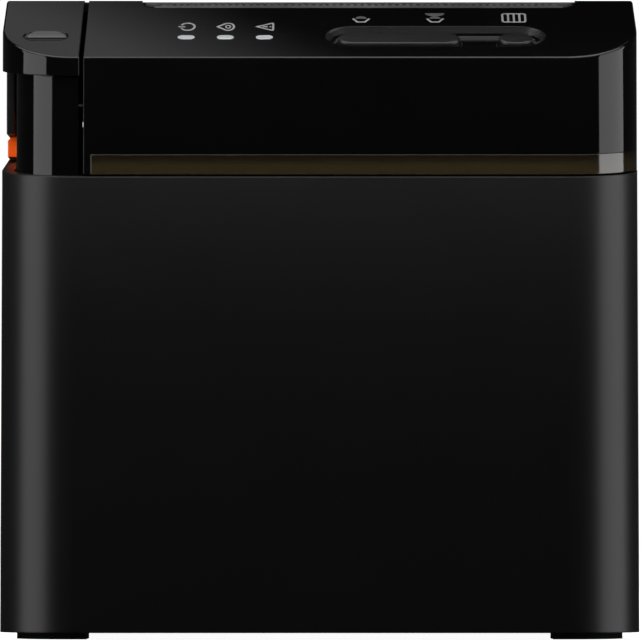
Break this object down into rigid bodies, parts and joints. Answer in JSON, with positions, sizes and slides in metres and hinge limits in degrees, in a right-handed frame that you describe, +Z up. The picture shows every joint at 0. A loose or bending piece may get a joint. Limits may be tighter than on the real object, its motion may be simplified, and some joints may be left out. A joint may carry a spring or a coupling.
{
  "type": "desktop receipt printer",
  "caption": "Compact cube-shaped desktop thermal receipt printer with a sloped control panel, top paper exit with a tear bar, hinged roll lid and corner release button.",
  "frame": {"origin": "on the table, under the middle of the base", "axes": "+Z up, -Y towards the control panel at the front, +X to the right seen from the front"},
  "size_m": [0.1252, 0.1258, 0.1264],
  "materials": {
    "base_black": "satin, fine grain",
    "case_gloss": "high gloss",
    "lid_black": "satin, fine grain",
    "amber": "smoked, gloss",
    "orange": "satin",
    "lip_grey": "matte",
    "foot_rubber": "matte",
    "platen_rubber": "matte",
    "steel": "brushed",
    "zinc_steel": "zinc plated",
    "aluminium": "satin",
    "glaze": "glazed",
    "gear_acetal": "black acetal",
    "bush_acetal": "grey acetal",
    "inner_black": "matte",
    "board_green": "solder mask",
    "chip_black": "matte",
    "port_black": "matte",
    "port_metal": "tinned",
    "plug_white": "matte",
    "cable_white": "satin",
    "lens_frost": "frosted",
    "spring_steel": "bright"
  },
  "bodies": {
    "base": {"base_shell": "base_black", "bottom_plate": "base_black", "rubber_feet": "foot_rubber", "bottom_screws": "zinc_steel", "board_screws": "zinc_steel", "roll_bucket": "inner_black", "mechanism_frame": "steel", "mechanism_screws": "zinc_steel", "motor_body": "steel", "idler_post": "steel", "front_case": "case_gloss", "status_lenses": "lens_frost", "panel_board": "board_green", "status_leds": "plug_white", "key_switches": "chip_black", "panel_screws": "zinc_steel", "light_band": "amber", "tear_bar": "steel", "corner_post": "case_gloss", "release_spring": "spring_steel", "latch_pin": "steel", "head_pin": "steel", "head_springs": "spring_steel", "hinge_pin": "steel", "main_board": "board_green", "board_chips": "chip_black", "power_inlet": "port_black", "drawer_port": "port_black", "data_port": "port_metal", "network_port": "port_metal", "port_panel": "base_black", "switch_housing": "port_black", "panel_cable": "cable_white", "head_cable": "cable_white", "motor_cable": "cable_white", "board_plugs": "plug_white", "paper_sensor": "chip_black", "cover_sensor": "chip_black"},
    "lid": {"paper_lid": "lid_black", "exit_lip": "lip_grey", "platen_bracket": "inner_black", "platen_bushes": "bush_acetal"},
    "platen": {"platen_roller": "platen_rubber", "platen_shaft": "steel", "platen_gear": "gear_acetal"},
    "idler": {"idler_gear": "gear_acetal"},
    "rotor": {"motor_pinion": "steel"},
    "release": {"release_button": "case_gloss"},
    "latch": {"latch_lever": "orange"},
    "feed": {"feed_key": "case_gloss"},
    "mode": {"mode_key": "case_gloss"},
    "head": {"print_head": "aluminium", "head_strip": "glaze"},
    "rocker": {"power_rocker": "port_black"}
  },
  "joints": [
    {"name": "lid_hinge", "type": "hinge", "parent": "base", "child": "lid", "pos_m": [0, 0.06092, 0.11053], "axis": [-1, 0, 0], "range_deg": [0, 95]},
    {"name": "platen_spin", "type": "hinge", "parent": "lid", "child": "platen", "pos_m": [0, -0.02894, 0.10748], "axis": [1, 0, 0], "continuous": true},
    {"name": "idler_spin", "type": "hinge", "parent": "base", "child": "idler", "pos_m": [0, -0.02894, 0.09142], "axis": [1, 0, 0], "continuous": true},
    {"name": "motor_spin", "type": "hinge", "parent": "base", "child": "rotor", "pos_m": [0, -0.04005, 0.08364], "axis": [1, 0, 0], "continuous": true},
    {"name": "release_press", "type": "slide", "parent": "base", "child": "release", "axis": [0, 0, -1], "range_m": [0, 0.002], "stiffness_N_per_m": 600, "springref_m": -0.002, "deforming": ["release_spring"]},
    {"name": "latch_pivot", "type": "hinge", "parent": "base", "child": "latch", "pos_m": [-0.057, 0, 0.08232], "axis": [0, 1, 0], "range_deg": [0, 6.4]},
    {"name": "feed_press", "type": "slide", "parent": "base", "child": "feed", "axis": [0, 0.4415, -0.8973], "range_m": [0, 0.0006], "stiffness_N_per_m": 700, "springref_m": -0.0006},
    {"name": "mode_press", "type": "slide", "parent": "base", "child": "mode", "axis": [0, 0.4415, -0.8973], "range_m": [0, 0.0006], "stiffness_N_per_m": 700, "springref_m": -0.0006},
    {"name": "head_pivot", "type": "hinge", "parent": "base", "child": "head", "pos_m": [0, -0.03862, 0.09958], "axis": [1, 0, 0], "range_deg": [0, 2.5], "stiffness_Nm_per_rad": 0.6, "springref_deg": -2.86, "deforming": ["head_springs"]},
    {"name": "rocker_tilt", "type": "hinge", "parent": "base", "child": "rocker", "pos_m": [-0.042, 0.06048, 0.032], "axis": [1, 0, 0], "range_deg": [-14, 0]}
  ],
  "couplings": [
    {"joint": "idler_spin", "follows": "platen_spin", "ratio": -0.6},
    {"joint": "motor_spin", "follows": "platen_spin", "ratio": 1.7143},
    {"joint": "latch_pivot", "follows": "release_press", "rad_per_m": 55.005}
  ]
}
